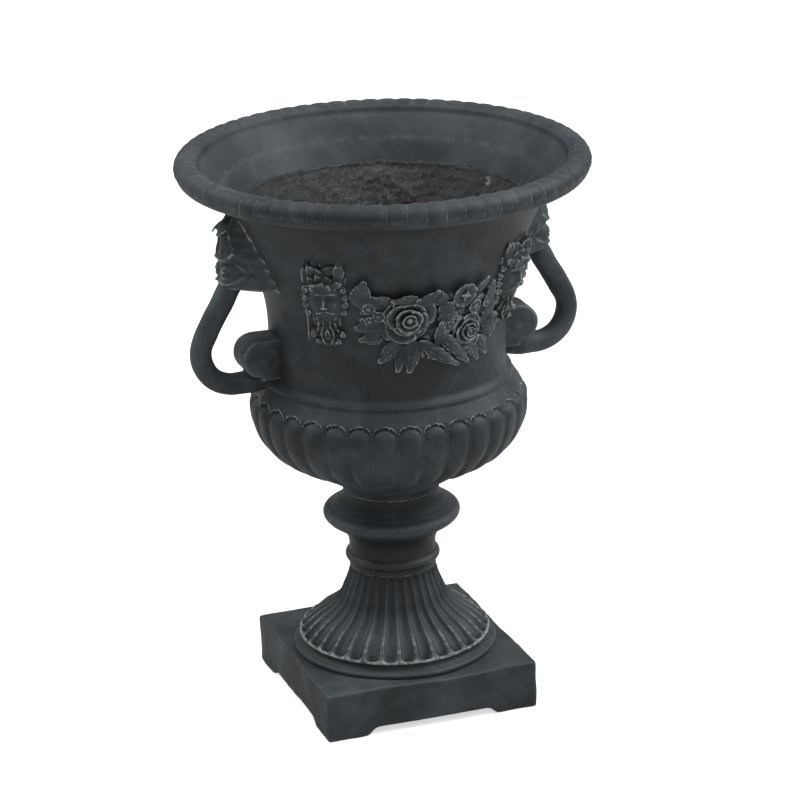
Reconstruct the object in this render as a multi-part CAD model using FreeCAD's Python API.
import FreeCAD, Part
import math
import os

# An urn planter on a square plinth, cast in pieces and then bonded and bolted together.
# Millimetres. The origin is the middle of the underside, +Z is up, the handles lie along X
# and the front garland faces -Y. Turned and carved forms are drawn with flats, to stay light.

V = FreeCAD.Vector

# ---- Driving dimensions --------------------------------------------------------------------
# Square plinth
PLINTH_SIDE = 240.0
PLINTH_HEIGHT = 54.0
PLINTH_BEVEL = 3.0
PLINTH_WALL = 22.0
PLINTH_DECK = 16.0
FOOT_LENGTH = 46.0
ARCH_HEIGHT = 8.0
ARCH_SLOPE = 9.0

# Pedestal, from the plinth up to the seat of the bowl
SKIRT_RADIUS = 111.0
SKIRT_HEIGHT = 17.0
TRUMPET_RADIUS = 103.0
TRUMPET_HEIGHT = 80.0
WAIST_RADIUS = 46.5
NECK_RING_RADIUS = 51.4
NECK_RING_HEIGHT = 10.0
NECK_HEIGHT = 14.0
SCOTIA_HEIGHT = 22.0
KNOP_RADIUS = 74.2
KNOP_HEIGHT = 22.0
COLLAR_RADIUS = 51.6
COLLAR_HEIGHT = 15.0
PEDESTAL_BORE = 32.0
PEDESTAL_HOLLOW = 86.0
FLUTE_COUNT = 32
FLUTE_DEPTH = 6.5
FLUTE_RIDGE = 3.0

# Bowl
BOWL_FLOOR = 16.0
BELLY_RADIUS = 149.0
BELLY_RISE = 100.0
BELLY_ARC = 66.0
BELLY_SLOPE = 29.6
GADROON_COUNT = 34
LOBES_PER_GADROON = 2
GADROON_ROUND = 16.0
GADROON_DEPTH = 9.5
BELLY_WALL = 16.0
GADROON_FOOT = 99.0
GADROON_LIP = 3.0
SHOULDER_RISE = 17.0
SHOULDER_OUT = 15.0
RIDGE_RISE = 35.0
RIDGE_OUT = 4.5
BODY_RADIUS = 126.0
BODY_RISE = 154.0
BODY_HEIGHT = 42.0
FLARE_HEIGHT = 156.0
FLARE_OUT = 70.0
RIM_OUT = 79.7
RIM_RISE = 362.6
RIM_BEAD = 13.4
RIM_LOBE_DEPTH = 1.9
RIM_CORE = 9.5
RIM_LOBE_END = 135.0
RIM_LIP = 160.0
BOWL_WALL = 10.0
THROAT_OUT = 26.0
THROAT_RISE = 317.0
LINING_WALL = 4.0

# Handles and the leaf mounts that they hang from
HANDLE_BAR = 12.0
HANDLE_OUT = 80.5
HANDLE_BEND = 36.5
HANDLE_SLANT = 29.5
HANDLE_FOOT_RISE = 140.5
HANDLE_SCROLL = 19.5
HANDLE_SCROLL_WIDTH = 38.0
HANDLE_SCROLL_OUT = 20.0
HANDLE_EYE = 6.0
HANDLE_WEB = 20.0
MOUNT_RISE = 252.0
MOUNT_HEIGHT = 66.0
MOUNT_OUT = 59.0
MOUNT_WIDTH = 54.0
DOWEL_SIDE = 8.0
DOWEL_LENGTH = 34.0

# Relief castings bonded to the body
MASK_AZIMUTH = 51.0
MASK_RISE = 243.0
MASK_HEIGHT = 104.0
MASK_WIDTH = 46.0
MASK_DEPTH = 24.0
SWAG_PLATE = 2.5
ROSE_RADIUS = 25.0
SMALL_ROSE_RADIUS = 17.0
BLOSSOM_RADIUS = 9.0
LEAF_RISE = 5.0

# Clamp that holds plinth, pedestal and bowl together, and the drains beside it
ROD_DIAMETER = 12.0
ROD_CLEARANCE = 0.5
PLATE_SIDE = 34.0
PLATE_THICKNESS = 5.0
NUT_FLATS = 18.0
NUT_HEIGHT = 10.0
ROD_END = 6.0
GASKET_THICKNESS = 3.0
DRAIN_DIAMETER = 10.0
DRAIN_CIRCLE = 23.5
DECK_DRAIN_CIRCLE = 45.0
DRAIN_COUNT = 4

BOND = 0.3

# ---- Sizes and levels that follow from them ------------------------------------------------
RIM_RADIUS = BODY_RADIUS + RIM_OUT
THROAT_RADIUS = BODY_RADIUS + THROAT_OUT
HANDLE_REACH = BODY_RADIUS + HANDLE_OUT
HANDLE_SCROLL_REACH = BODY_RADIUS + HANDLE_SCROLL_OUT
MOUNT_REACH = BODY_RADIUS + MOUNT_OUT
TRUMPET_FOOT = PLINTH_HEIGHT + SKIRT_HEIGHT
RING_FOOT = TRUMPET_FOOT + TRUMPET_HEIGHT
NECK_FOOT = RING_FOOT + NECK_RING_HEIGHT
SCOTIA_FOOT = NECK_FOOT + NECK_HEIGHT
KNOP_FOOT = SCOTIA_FOOT + SCOTIA_HEIGHT
COLLAR_FOOT = KNOP_FOOT + KNOP_HEIGHT
SEAT = COLLAR_FOOT + COLLAR_HEIGHT
FLOOR = SEAT + BOWL_FLOOR
BELLY = SEAT + BELLY_RISE
BODY = SEAT + BODY_RISE
FLARE = BODY + BODY_HEIGHT
THROAT = SEAT + THROAT_RISE
RIM = SEAT + RIM_RISE
HANDLE_FOOT = SEAT + HANDLE_FOOT_RISE
MOUNT_FOOT = SEAT + MOUNT_RISE
MASK_CENTRE = SEAT + MASK_RISE


# ---- Helpers -------------------------------------------------------------------------------
def arc(centre_r, centre_z, radius, start, end, steps):
    """Corners of an arc in a half section, between two angles in degrees."""
    corners = []
    for step in range(steps + 1):
        angle = math.radians(start + (end - start) * step / steps)
        corners.append((centre_r + radius * math.cos(angle), centre_z + radius * math.sin(angle)))
    return corners


def mitres(path):
    """For each corner of an open path, the step that moves it 1 mm to the left, mitred."""
    normals = []
    for (r0, z0), (r1, z1) in zip(path, path[1:]):
        length = math.hypot(r1 - r0, z1 - z0)
        normals.append(((z0 - z1) / length, (r1 - r0) / length))
    steps = []
    for (a, b), (c, d) in zip([normals[0]] + normals, normals + [normals[-1]]):
        share = 1.0 / (1.0 + a * c + b * d)
        steps.append(((a + c) * share, (b + d) * share))
    return steps


def offset(path, distance):
    """An open path moved to its left, which is inwards for a path that climbs."""
    return [(r + distance * m, z + distance * n) for (r, z), (m, n) in zip(path, mitres(path))]


def between(path, low, high):
    """The stretch of a climbing path between two heights."""
    def at(height):
        for (r0, z0), (r1, z1) in zip(path, path[1:]):
            if z0 <= height <= z1 and z1 > z0:
                return r0 + (r1 - r0) * (height - z0) / (z1 - z0), height
        return path[-1]
    return [at(low)] + [(r, z) for r, z in path if low + 0.01 < z < high - 0.01] + [at(high)]


def flat(corners):
    return Part.Face(Part.makePolygon(corners + corners[:1]))


def facets(rings):
    """Solid skinned over rings of as many corners each, with flat facets."""
    faces = [flat(ring) for ring in (rings[0], rings[-1]) if (ring[0] - ring[1]).Length > 1e-6]
    for lower, upper in zip(rings, rings[1:]):
        for i in range(len(lower)):
            quad = [lower[i - 1], lower[i], upper[i], upper[i - 1]]
            corners = [p for p, q in zip(quad, quad[1:] + quad[:1]) if (p - q).Length > 1e-6]
            if len(corners) < 3:
                continue
            a, b, c = corners[:3]
            normal = (b - a).cross(c - a)
            if len(corners) == 4 and abs((corners[3] - a).dot(normal)) > 1e-6 * normal.Length:
                faces.append(flat([a, b, c]))
                faces.append(flat([a, c, corners[3]]))
            elif normal.Length > 1e-6:
                faces.append(flat(corners))
    solid = Part.makeSolid(Part.makeShell(faces))
    return solid if solid.Volume > 0 else solid.reversed()


def front(across, out, height):
    """A point on the front: across to the right, out from the axis, and up."""
    return V(across, -out, height)


def swept(path, section):
    """A flat-sided bar along a path of (out, height), with a section of (across, inwards)."""
    rings = []
    for (out, height), (m, n) in zip(path, mitres(path)):
        rings.append([front(u, out + d * m, height + d * n) for u, d in section])
    return facets(rings)


def turned(shape, degrees):
    copy = shape.copy()
    copy.rotate(V(0, 0, 0), V(0, 0, 1), degrees)
    return copy


def around(shape, count):
    return [turned(shape, 360.0 * i / count) for i in range(count)]


def block(size_x, size_y, bottom, top, x=0.0, y=0.0):
    """An upright square bar about (x, y)."""
    return Part.makeBox(size_x, size_y, top - bottom, V(x - size_x / 2, y - size_y / 2, bottom))


def drum(radius, bottom, top, x=0.0, y=0.0):
    return Part.makeCylinder(radius, top - bottom, V(x, y, bottom))


def mirrored(shape):
    return shape.mirror(V(0, 0, 0), V(1, 0, 0))


def at_angle(outline, angle):
    """A half section of (radius, height) stood up at an angle from the front."""
    return [front(r * math.sin(angle), r * math.cos(angle), z) for r, z in outline]


def slice_of(outline, count):
    """One share of a turned form, from a closed half section."""
    half = math.pi / count
    return facets([at_angle(outline, -half), at_angle(outline, half)])


def wedge(count, top):
    """All the room that one share of a turned form may take."""
    half = math.pi / count
    edge = front(top * math.sin(half), top * math.cos(half), 0.0)
    return flat([V(0, 0, 0), edge, V(-edge.x, edge.y, 0)]).extrude(V(0, 0, top))


def whole(share, count):
    """The whole form from one share: copied round, and sewn where the shares meet."""
    half = math.pi / count
    skin = []
    for face in share.Faces:
        corners = [vertex.Point for vertex in face.Vertexes]
        cuts = [max(abs(p.x * math.cos(a) + p.y * math.sin(a)) for p in corners) for a in (-half, half)]
        if min(cuts) > 1e-4:
            skin += around(face, count)
    solid = Part.makeSolid(Part.makeShell(skin))
    solid = solid if solid.Volume > 0 else solid.reversed()
    return solid.removeSplitter()


def lathe(outline, count):
    return whole(slice_of(outline, count), count)


# ---- Half sections -------------------------------------------------------------------------
def gadroon_crest():
    """The line along the top of a gadroon, from the foot of the bowl over the belly."""
    centre = BELLY_RADIUS - BELLY_ARC
    round_part = arc(centre, BELLY, BELLY_ARC, BELLY_SLOPE - 90.0, 0.0, 2)
    slope = math.tan(math.radians(BELLY_SLOPE))
    start_r, start_z = round_part[0]
    foot = (GADROON_FOOT, start_z - (start_r - GADROON_FOOT) * slope)
    return [foot] + round_part


def bowl_skin():
    """The smooth outside of the bowl, with the gadroons and the rim's lobes left off."""
    grooves = offset(gadroon_crest(), GADROON_DEPTH)
    foot_r, foot_z = gadroon_crest()[0]
    start_r = GADROON_FOOT + 8.0
    start_z = grooves[1][1] - (grooves[1][0] - start_r) * math.tan(math.radians(BELLY_SLOPE))
    path = [(COLLAR_RADIUS + 0.5, SEAT), (COLLAR_RADIUS + 4.0, SEAT + 6.0), (foot_r, foot_z + GADROON_LIP)]
    path += [(start_r, start_z)] + grooves[1:3]
    path += [(BODY_RADIUS + SHOULDER_OUT, BELLY + SHOULDER_RISE)]
    path += [(BODY_RADIUS + RIDGE_OUT, BELLY + RIDGE_RISE)]
    path += [(BODY_RADIUS, BODY), (BODY_RADIUS, FLARE)]
    for rise, out in ((0.26, 0.08), (0.56, 0.30), (0.82, 0.61), (1.0, 1.0)):
        path.append((BODY_RADIUS + FLARE_OUT * out, FLARE + FLARE_HEIGHT * rise))
    return path


def body_radius(height):
    return between(bowl_skin(), height, RIM)[0][0]


def well_wall():
    """The inside of the bowl's casting, from the floor up to the throat."""
    inner = offset(gadroon_crest(), BELLY_WALL)
    slope_r, slope_z = inner[1]
    floor_r = slope_r - (slope_z - FLOOR) / math.tan(math.radians(BELLY_SLOPE))
    path = [(floor_r, FLOOR)] + inner[1:]
    path += [(BODY_RADIUS - BOWL_WALL, BODY), (BODY_RADIUS - BOWL_WALL, FLARE)]
    path += [(BODY_RADIUS - BOWL_WALL + 0.26 * FLARE_OUT, FLARE + 0.54 * FLARE_HEIGHT)]
    return path + [(THROAT_RADIUS, THROAT)]


def trumpet_line():
    """The outside of the flaring foot, from its wide end up to the waist."""
    spread = TRUMPET_RADIUS - WAIST_RADIUS
    shares = ((1.0, 0.0), (0.54, 0.25), (0.27, 0.43), (0.08, 0.68), (0.0, 1.0))
    return [(WAIST_RADIUS + spread * r, TRUMPET_FOOT + TRUMPET_HEIGHT * z) for r, z in shares]


# ---- Castings ------------------------------------------------------------------------------
def make_plinth():
    slab = block(PLINTH_SIDE, PLINTH_SIDE, 0.0, PLINTH_HEIGHT)
    slab = slab.makeChamfer(PLINTH_BEVEL, [e for e in slab.Edges if e.BoundBox.ZMax > 1.0])
    hollow = PLINTH_SIDE - 2.0 * PLINTH_WALL
    slab = slab.cut(block(hollow, hollow, 0.0, PLINTH_HEIGHT - PLINTH_DECK))
    span = PLINTH_SIDE / 2.0 - FOOT_LENGTH
    arch = flat([V(-span, -PLINTH_SIDE, 0), V(span, -PLINTH_SIDE, 0),
                 V(span - ARCH_SLOPE, -PLINTH_SIDE, ARCH_HEIGHT),
                 V(ARCH_SLOPE - span, -PLINTH_SIDE, ARCH_HEIGHT)])
    arch = arch.extrude(V(0, 2.0 * PLINTH_SIDE, 0))
    slab = slab.cut([arch, turned(arch, 90.0), drum(ROD_DIAMETER / 2.0 + ROD_CLEARANCE, 0.0, SEAT)])
    drain = drum(DRAIN_DIAMETER / 2.0, 0.0, SEAT, DECK_DRAIN_CIRCLE)
    return slab.cut(around(drain, DRAIN_COUNT))


def flute_cutter():
    """One flute of the foot: a hollow that narrows and gets shallower towards the waist."""
    share = math.tan(math.pi / FLUTE_COUNT) - FLUTE_RIDGE / 2.0 / TRUMPET_RADIUS
    section = ((-1.1, -0.4), (-0.45, 1.0), (0.45, 1.0), (1.1, -0.4), (0.0, -1.0))
    rings = []
    for r, z in trumpet_line():
        depth = FLUTE_DEPTH * (r / TRUMPET_RADIUS) ** 1.5
        rings.append([front(share * r * u, r - depth * d, z) for u, d in section])
    return facets(rings)


def make_pedestal():
    bead = KNOP_HEIGHT / 2.0 - 1.0
    path = [(SKIRT_RADIUS, PLINTH_HEIGHT), (SKIRT_RADIUS - 2.0, PLINTH_HEIGHT + 9.0)]
    path += [(TRUMPET_RADIUS + 3.0, TRUMPET_FOOT - 4.0)] + trumpet_line()
    path += [(NECK_RING_RADIUS, RING_FOOT + 3.0), (NECK_RING_RADIUS, RING_FOOT + 7.0)]
    path += [(WAIST_RADIUS + 0.5, NECK_FOOT), (WAIST_RADIUS + 0.5, SCOTIA_FOOT)]
    path += [(WAIST_RADIUS + 6.0, SCOTIA_FOOT + 11.0)]
    path += arc(KNOP_RADIUS - bead, KNOP_FOOT + bead - 1.0, bead, -80.0, 60.0, 3)
    path += [(COLLAR_RADIUS + 8.5, COLLAR_FOOT + 1.0), (COLLAR_RADIUS + 1.0, SEAT - 7.0)]
    path += [(COLLAR_RADIUS, SEAT), (PEDESTAL_BORE / 2.0, SEAT), (PEDESTAL_BORE / 2.0, PLINTH_HEIGHT)]
    hollow = [(0.0, SEAT + 1.0), (PEDESTAL_BORE, SEAT + 1.0), (PEDESTAL_BORE, RING_FOOT)]
    hollow += [(PEDESTAL_HOLLOW, PLINTH_HEIGHT), (PEDESTAL_HOLLOW, 0.0), (0.0, 0.0)]
    share = slice_of(path, FLUTE_COUNT).cut([flute_cutter(), slice_of(hollow, FLUTE_COUNT)])
    return whole(share, FLUTE_COUNT)


def make_gadroon():
    """One gadroon, clipped to its own share of the circle."""
    crest = gadroon_crest()
    top_r, top_z = crest[-1]
    crest += [(top_r - 1.5, top_z + 9.0), (top_r - 7.0, top_z + 17.0), (top_r - 15.0, top_z + 20.0)]
    reach = [math.radians(a) for a in (-70.0, -35.0, 0.0, 35.0, 70.0)]
    section = [(GADROON_ROUND * math.sin(a), GADROON_ROUND * (1.0 - math.cos(a))) for a in reach]
    return swept(crest, section)


def make_rim_lobe(count):
    """One lobe of the rope edge: fat in the middle, and met by its neighbours at both ends."""
    rings = []
    for side in (-1.0, 0.0, 1.0):
        radius = RIM_BEAD - abs(side) * RIM_LOBE_DEPTH
        corners = [(RIM_RADIUS, RIM)] + arc(RIM_RADIUS, RIM, radius, -45.0, 0.0, 1)
        corners += arc(RIM_RADIUS, RIM, radius, 45.0, RIM_LOBE_END, 2)
        rings.append(at_angle(corners, side * math.pi / count))
    return facets(rings)


def make_bowl():
    outline = [(0.0, SEAT)] + bowl_skin()
    outline += arc(RIM_RADIUS, RIM, RIM_BEAD, -110.0, -55.0, 2)
    outline += arc(RIM_RADIUS, RIM, RIM_CORE, -35.0, 125.0, 2)
    edge_r, edge_z = arc(RIM_RADIUS, RIM, RIM_BEAD - 1.0, RIM_LIP, RIM_LIP, 1)[0]
    outline += [(edge_r, edge_z)]
    outline += [((edge_r + THROAT_RADIUS) / 2.0, THROAT + 0.6 * (edge_z - THROAT)), (THROAT_RADIUS, THROAT)]
    outline += [(COLLAR_RADIUS / 2.0, THROAT), (COLLAR_RADIUS / 2.0, FLOOR), (0.0, FLOOR)]
    well = slice_of(well_wall() + [(0.0, THROAT), (0.0, FLOOR)], GADROON_COUNT)
    lobes = LOBES_PER_GADROON * GADROON_COUNT
    ornament = [make_gadroon().common(wedge(GADROON_COUNT, RIM + RIM_RADIUS))]
    for i in range(LOBES_PER_GADROON):
        place = (i - (LOBES_PER_GADROON - 1) / 2.0) * 360.0 / lobes
        ornament.append(turned(make_rim_lobe(lobes), place))
    bowl = whole(slice_of(outline, GADROON_COUNT).fuse(ornament).cut(well), GADROON_COUNT)
    drain = drum(DRAIN_DIAMETER / 2.0, SEAT, THROAT, DRAIN_CIRCLE)
    holes = around(drain, DRAIN_COUNT) + [drum(ROD_DIAMETER / 2.0 + ROD_CLEARANCE, SEAT, THROAT)]
    holes += both_sides(foot_dowel(BOND)) + both_sides(wall_dowel(BOND))
    return bowl.cut(holes)


def make_lining():
    """The rough skin laid up inside the bowl, from the throat down to the edge of the floor."""
    wall = well_wall()
    wall = [(wall[0][0] + 12.0, wall[0][1] + 12.0 * math.tan(math.radians(BELLY_SLOPE)))] + wall[1:]
    outer = offset(wall, BOND)
    inner = offset(wall, BOND + LINING_WALL)
    return lathe(outer + list(reversed(inner)), GADROON_COUNT)


# ---- Handles -------------------------------------------------------------------------------
def both_sides(shape):
    """A piece made at the front, carried round to the right and to the left."""
    return [turned(shape, 90.0), turned(mirrored(shape), -90.0)]


def round_section(radius, sides):
    return [(radius * math.cos(2.0 * math.pi * (i + 0.5) / sides),
             radius * math.sin(2.0 * math.pi * (i + 0.5) / sides)) for i in range(sides)]


def handle_path():
    """The middle of the bar, from the leaf mount out, round the bend and in to the body."""
    slant = math.radians(HANDLE_SLANT)
    bend = arc(HANDLE_REACH - HANDLE_BEND, HANDLE_FOOT + HANDLE_BEND, HANDLE_BEND, HANDLE_SLANT, -90.0, 5)
    climb = (MOUNT_FOOT - bend[0][1]) / math.cos(slant)
    top = (bend[0][0] - climb * math.sin(slant), MOUNT_FOOT)
    return [top] + bend + [(BODY_RADIUS - HANDLE_BAR, HANDLE_FOOT)]


def square_bar(start, end, gap):
    """A square dowel between two points of (out, height), or its hole where gap is given."""
    half = DOWEL_SIDE / 2.0 + gap
    return swept([start, end], [(-half, -half), (half, -half), (half, half), (-half, half)])


def neck_dowel(gap=0.0):
    """Joins the top of the bar to the leaf mount."""
    slant = math.radians(HANDLE_SLANT)
    reach = DOWEL_LENGTH / 2.0 + gap
    r, z = handle_path()[0]
    step = (reach * math.sin(slant), reach * math.cos(slant))
    return square_bar((r - step[0], z + step[1]), (r + step[0], z - step[1]), gap)


def foot_dowel(gap=0.0):
    """Joins the lower end of the bar to the wall of the bowl."""
    inside = between(well_wall(), HANDLE_FOOT - DOWEL_SIDE, HANDLE_FOOT)[0][0] + 2.0 * BOND
    return square_bar((inside - gap, HANDLE_FOOT), (inside + DOWEL_LENGTH + gap, HANDLE_FOOT), gap)


def wall_dowel(gap=0.0):
    """Joins the leaf mount to the wall of the bowl."""
    height = MOUNT_FOOT + MOUNT_HEIGHT / 2.0
    inside = between(well_wall(), height, height + DOWEL_SIDE)[-1][0] + 2.0 * BOND
    return square_bar((inside - gap, height), (inside + DOWEL_LENGTH * 0.8 + gap, height), gap)


def seat(gap):
    """The outside of the body and shoulder, moved out by a gap, to trim what sits on it."""
    low = BELLY + SHOULDER_RISE + 1.0
    skin = offset(between(bowl_skin(), low, FLARE + FLARE_HEIGHT), -gap)
    return lathe([(0.0, skin[0][1])] + skin + [(0.0, skin[-1][1])], GADROON_COUNT)


def make_handle():
    """A scrolled bar: it hangs from the mount, bends round and rests its scroll on the body."""
    path = handle_path()
    (r0, z0), (r1, z1) = path[:2]
    path[0] = (2.0 * r0 - r1, 2.0 * z0 - z1)
    bar = swept(path, round_section(HANDLE_BAR, 10))
    centre = (HANDLE_SCROLL_REACH, HANDLE_FOOT + HANDLE_BAR + HANDLE_SCROLL - 1.5)
    half = HANDLE_SCROLL_WIDTH / 2.0
    rings = []
    for across, radius in ((-half, -3.0), (3.0 - half, 0.0), (half - 3.0, 0.0), (half, -3.0)):
        corners = round_section(HANDLE_SCROLL + radius, 12)
        rings.append([front(across, centre[0] + a, centre[1] + b) for a, b in corners])
    scroll = facets(rings)
    eye = [[front(across, centre[0] + a, centre[1] + b) for a, b in round_section(HANDLE_EYE, 8)]
           for across in (-half - 2.0, half + 2.0)]
    web = block(HANDLE_WEB, HANDLE_SCROLL, HANDLE_FOOT, centre[1], 0.0, HANDLE_SCROLL / 2.0 - centre[0])
    handle = bar.fuse([scroll, facets(eye), web]).cut(seat(BOND))
    above = block(2.0 * MOUNT_REACH, 3.0 * MOUNT_REACH, MOUNT_FOOT - BOND, RIM)
    return handle.cut([above, neck_dowel(BOND), foot_dowel(BOND)]).removeSplitter()


def leaf(azimuth, height, length, width, tilt, out, rise):
    """A pointed leaf that lies on the body; tilt is its direction, 0 to the right and 90 up."""
    c, s = math.cos(math.radians(tilt)), math.sin(math.radians(tilt))
    shape = ((0.0, 0.0), (0.4 * length, width / 2.0), (length, 0.0), (0.4 * length, -width / 2.0))
    outline = [(a * c - b * s, height + a * s + b * c) for a, b in shape]
    ridge = (0.45 * length * c, height + 0.45 * length * s)
    rings = [[front(u, out - 12.0, z) for u, z in outline], [front(u, out, z) for u, z in outline]]
    rings.append([front(ridge[0], out + rise, ridge[1])] * 4)
    return turned(facets(rings), azimuth)


# Share of the mount's height, share of its width, and how far it stands out past its reach
MOUNT_RINGS = ((0.0, 0.62, 0.0), (0.2, 0.95, -3.0), (0.45, 1.0, 0.0), (0.65, 0.92, -4.0),
               (0.85, 0.78, 0.0), (1.0, 0.4, -14.0))
# Azimuth in degrees and share of the mount's height, then length, width and direction
MOUNT_LEAVES = ((6.0, 0.14, 36.0, 17.0, -72.0), (-6.0, 0.1, 26.0, 15.0, -108.0),
                (6.0, 0.62, 32.0, 18.0, 35.0), (-6.0, 0.62, 32.0, 18.0, 145.0))


def make_mount():
    """The leafy bracket under the rim that the handle hangs from."""
    rings = []
    for rise, wide, back in MOUNT_RINGS:
        half, out = MOUNT_WIDTH / 2.0 * wide, MOUNT_REACH + back
        corners = ((-half, BODY_RADIUS), (-half, out - 18.0), (-0.5 * half, out - 4.0), (0.0, out),
                   (0.5 * half, out - 4.0), (half, out - 18.0), (half, BODY_RADIUS))
        rings.append([front(u, w, MOUNT_FOOT + MOUNT_HEIGHT * rise) for u, w in corners])
    leaves = []
    for azimuth, share, length, width, tilt in MOUNT_LEAVES:
        height = MOUNT_FOOT + MOUNT_HEIGHT * share
        leaves.append(leaf(azimuth, height, length, width, tilt, body_radius(height) + 3.0, 8.0))
    mount = facets(rings).fuse(leaves)
    return mount.cut([seat(BOND), neck_dowel(BOND), wall_dowel(BOND)]).removeSplitter()


# ---- Relief --------------------------------------------------------------------------------
# Share of the mask's height from the beard up, share of its width, and share of its depth
MASK_RINGS = ((0.0, 0.2, 0.25), (0.12, 0.5, 0.55), (0.26, 0.8, 0.8), (0.4, 0.88, 0.9), (0.5, 0.88, 0.86),
              (0.58, 0.9, 0.62), (0.66, 0.94, 0.76), (0.84, 1.0, 0.7), (1.0, 0.55, 0.4))
# Share of the half width and share of the depth of each corner of a ring
MASK_CORNERS = ((-1.0, 0.3), (-0.55, 0.75), (0.0, 1.0), (0.55, 0.75), (1.0, 0.3))
CROWN_LEAVES = 5


def make_mask(trim):
    """A bearded mask under a crown of leaves, in level rings from the beard to the crown."""
    rings = []
    for rise, wide, deep in MASK_RINGS:
        height = MASK_CENTRE + (rise - 0.5) * MASK_HEIGHT
        half, out, depth = MASK_WIDTH / 2.0 * wide, body_radius(height), MASK_DEPTH * deep
        corners = [(-half, out - MASK_DEPTH)]
        corners += [(u * half, out + w * depth) for u, w in MASK_CORNERS] + [(half, out - MASK_DEPTH)]
        rings.append([front(u, w, height) for u, w in corners])
    height = MASK_CENTRE + 0.36 * MASK_HEIGHT
    out = body_radius(height) + 0.6 * MASK_DEPTH
    crown = []
    for i in range(CROWN_LEAVES):
        side = i - (CROWN_LEAVES - 1) / 2.0
        crown.append(leaf(3.0 * side, height, 22.0, 14.0, 90.0 - 25.0 * side, out, 5.0))
    return facets(rings).fuse(crown).cut(trim).removeSplitter()


# Azimuth from the front in degrees, rise above the bowl's seat, then length, width and direction
SWAG_LEAVES = ((-29.0, 256.0, 26.0, 17.0, 100.0), (-27.0, 222.0, 24.0, 14.0, 230.0),
               (-12.0, 200.0, 30.0, 18.0, 215.0), (-9.0, 198.0, 32.0, 18.0, 265.0),
               (-2.0, 200.0, 34.0, 18.0, 300.0), (8.0, 196.0, 30.0, 17.0, 250.0),
               (12.0, 198.0, 30.0, 17.0, 290.0), (20.0, 194.0, 26.0, 15.0, 325.0),
               (33.0, 208.0, 28.0, 14.0, 285.0), (35.0, 226.0, 30.0, 15.0, 80.0),
               (38.0, 214.0, 26.0, 13.0, 265.0), (12.0, 252.0, 18.0, 12.0, 70.0))
SWAG_EDGE = ((-33.0, 262.0), (-20.0, 264.0), (-8.0, 264.0), (8.0, 262.0), (20.0, 260.0), (33.0, 248.0),
             (47.0, 234.0), (46.0, 190.0), (34.0, 196.0), (22.0, 176.0), (8.0, 168.0), (-10.0, 170.0),
             (-22.0, 184.0), (-32.0, 210.0))
ROSES = ((-10.0, 234.0, ROSE_RADIUS), (18.3, 209.5, SMALL_ROSE_RADIUS))
BLOSSOMS = ((7.0, 245.0), (14.0, 253.0), (20.5, 239.0), (28.5, 229.0), (-27.5, 240.0), (-27.0, 219.0))


# Share of the radius, heights of the two rings of a tier as shares of it, and turn
ROSE_TIERS = ((1.0, 0.26, 0.3, 0.0), (0.68, 0.42, 0.5, 0.63), (0.34, 0.56, 0.66, 0.0))
BLOSSOM_TIERS = ((1.0, 0.3, 0.5, 0.0),)


def tier(rise, low, high, sides, twist):
    """Ring of a flower, seen from outside: corners at a rise, waved between two radii."""
    corners = []
    for i in range(sides):
        angle = 2.0 * math.pi * i / sides + twist
        radius = low if i % 2 else high
        corners.append((radius * math.cos(angle), rise, radius * math.sin(angle)))
    return corners


def flower(azimuth, rise, radius, tiers, sides):
    """A rose or a blossom: tiers of petals, each turned against the last, round a bud."""
    height = SEAT + rise
    out = body_radius(height) + SWAG_PLATE
    solids = []
    for share, bottom, top, twist in tiers:
        reach = share * radius
        rings = [tier(-8.0, 0.86 * reach, reach, sides, twist),
                 tier(radius * bottom, 0.86 * reach, reach, sides, twist),
                 tier(radius * top, 0.6 * reach, 0.7 * reach, sides, twist)]
        solids.append(facets([[front(u, out + w, height + z) for u, w, z in ring] for ring in rings]))
    bloom = solids[0].fuse(solids[1:]) if len(solids) > 1 else solids[0]
    return turned(bloom, azimuth)


def flower_room(azimuth, rise, radius):
    height = SEAT + rise
    rings = [[front(u, out, height + z) for u, z in round_section((radius + 2.0 * BOND) * 1.09, 8)]
             for out in (BODY_RADIUS - 20.0, BODY_RADIUS + 80.0)]
    return turned(facets(rings), azimuth)


def mask_room():
    """The width that a mask takes up on the body, to keep the garland off it."""
    side = 2.0 * MASK_CENTRE
    room = block(MASK_WIDTH + 2.0 * BOND, side, 0.0, side, 0.0, -side / 2.0)
    return [turned(room, MASK_AZIMUTH), turned(room, -MASK_AZIMUTH)]


def make_festoon(trim, plate_skin):
    """The leafy backing of the garland, with room for the flowers that are set on it."""
    edge = [V(body_radius(SEAT + rise) * math.sin(math.radians(azimuth)), 0, SEAT + rise)
            for azimuth, rise in SWAG_EDGE]
    plate = flat(edge).extrude(V(0, -2.0 * BODY_RADIUS, 0)).common(plate_skin)
    leaves = []
    for azimuth, rise, length, width, tilt in SWAG_LEAVES:
        out = body_radius(SEAT + rise) + SWAG_PLATE
        leaves.append(leaf(azimuth, SEAT + rise, length, width, tilt, out, LEAF_RISE))
    rooms = [flower_room(*place) for place in ROSES]
    rooms += [flower_room(azimuth, rise, BLOSSOM_RADIUS) for azimuth, rise in BLOSSOMS]
    leaves = [piece.cut(rooms) for piece in leaves]
    return plate.fuse(leaves).cut([trim] + mask_room()).removeSplitter()


# ---- Clamp ---------------------------------------------------------------------------------
def clamp_levels():
    """Underside of the lower plate, and top of the upper plate."""
    lower = PLINTH_HEIGHT - PLINTH_DECK - PLATE_THICKNESS
    return lower, FLOOR + GASKET_THICKNESS + PLATE_THICKNESS


def make_rod():
    lower, upper = clamp_levels()
    return drum(ROD_DIAMETER / 2.0, lower - NUT_HEIGHT - ROD_END, upper + NUT_HEIGHT + ROD_END)


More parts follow.
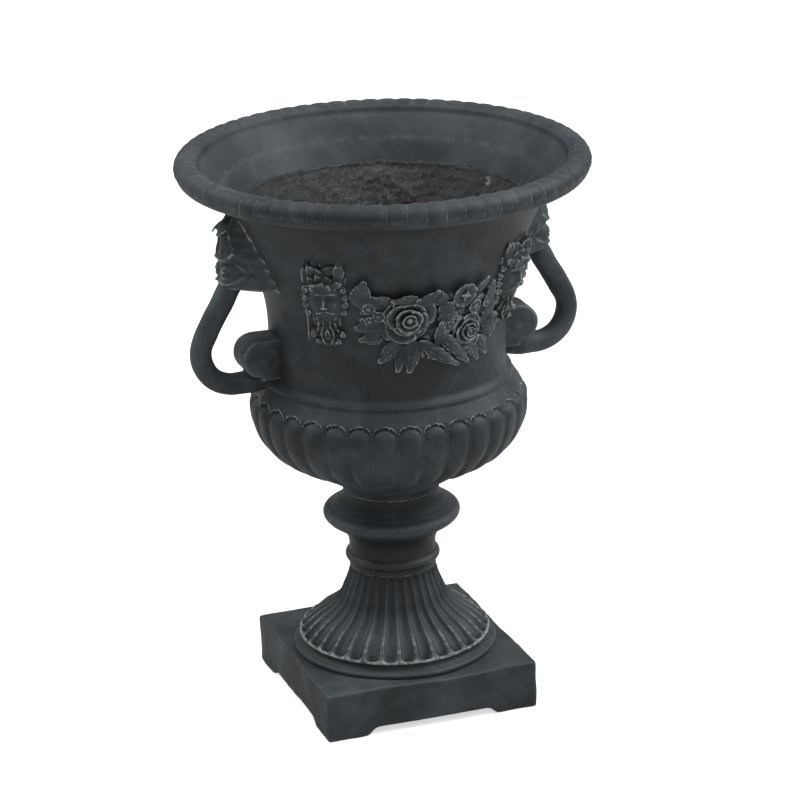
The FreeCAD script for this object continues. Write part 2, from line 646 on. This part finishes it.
def make_plates():
    lower, upper = clamp_levels()
    hole = drum(ROD_DIAMETER / 2.0 + ROD_CLEARANCE, 0.0, RIM)
    return Part.makeCompound([block(PLATE_SIDE, PLATE_SIDE, bottom, bottom + PLATE_THICKNESS).cut(hole)
                              for bottom in (lower, upper - PLATE_THICKNESS)])


def make_gasket():
    hole = drum(ROD_DIAMETER / 2.0 + ROD_CLEARANCE, 0.0, RIM)
    return block(PLATE_SIDE, PLATE_SIDE, FLOOR, FLOOR + GASKET_THICKNESS).cut(hole)


def make_nuts():
    lower, upper = clamp_levels()
    corners = round_section(NUT_FLATS / math.sqrt(3.0), 6)
    hole = drum(ROD_DIAMETER / 2.0 + ROD_CLEARANCE / 4.0, 0.0, RIM)
    nuts = []
    for bottom in (lower - NUT_HEIGHT, upper):
        nut = flat([V(x, y, bottom) for x, y in corners]).extrude(V(0, 0, NUT_HEIGHT))
        nuts.append(nut.cut(hole))
    return Part.makeCompound(nuts)


def save(name, shape):
    solids = shape.Solids
    assert solids and all(solid.isValid() for solid in solids), name
    shape = solids[0] if len(solids) == 1 else Part.makeCompound(solids)
    shape.exportStep("parts/" + name + ".step")
    print(name, len(solids), "solid(s)", round(shape.Volume / 1000.0, 1), "cubic cm")


def build():
    trim = seat(BOND)
    plate_skin = seat(BOND + SWAG_PLATE)
    flower_trim = seat(2.0 * BOND + SWAG_PLATE)
    save("plinth", make_plinth())
    save("pedestal", make_pedestal())
    save("bowl_shell", make_bowl())
    save("fibre_lining", make_lining())
    for name, shape in (("handle", make_handle()), ("leaf_mount", make_mount())):
        right, left = both_sides(shape)
        save("right_" + name, right)
        save("left_" + name, left)
    dowels = both_sides(neck_dowel()) + both_sides(foot_dowel()) + both_sides(wall_dowel())
    save("handle_dowels", Part.makeCompound(dowels))
    mask = make_mask(trim)
    festoon = make_festoon(trim, plate_skin)
    roses = [flower(*place, ROSE_TIERS, 8).cut(flower_trim) for place in ROSES]
    blossoms = [flower(*place, BLOSSOM_RADIUS, BLOSSOM_TIERS, 8).cut(flower_trim) for place in BLOSSOMS]
    for side, turn in (("front", 0.0), ("back", 180.0)):
        save(side + "_left_mask", turned(mask, turn - MASK_AZIMUTH))
        save(side + "_right_mask", turned(mask, turn + MASK_AZIMUTH))
        save(side + "_festoon", turned(festoon, turn))
        save(side + "_roses", turned(Part.makeCompound(roses), turn))
        save(side + "_blossoms", turned(Part.makeCompound(blossoms), turn))
    save("tie_rod", make_rod())
    save("clamp_plates", make_plates())
    save("clamp_nuts", make_nuts())
    save("floor_gasket", make_gasket())


os.makedirs("parts", exist_ok=True)
build()
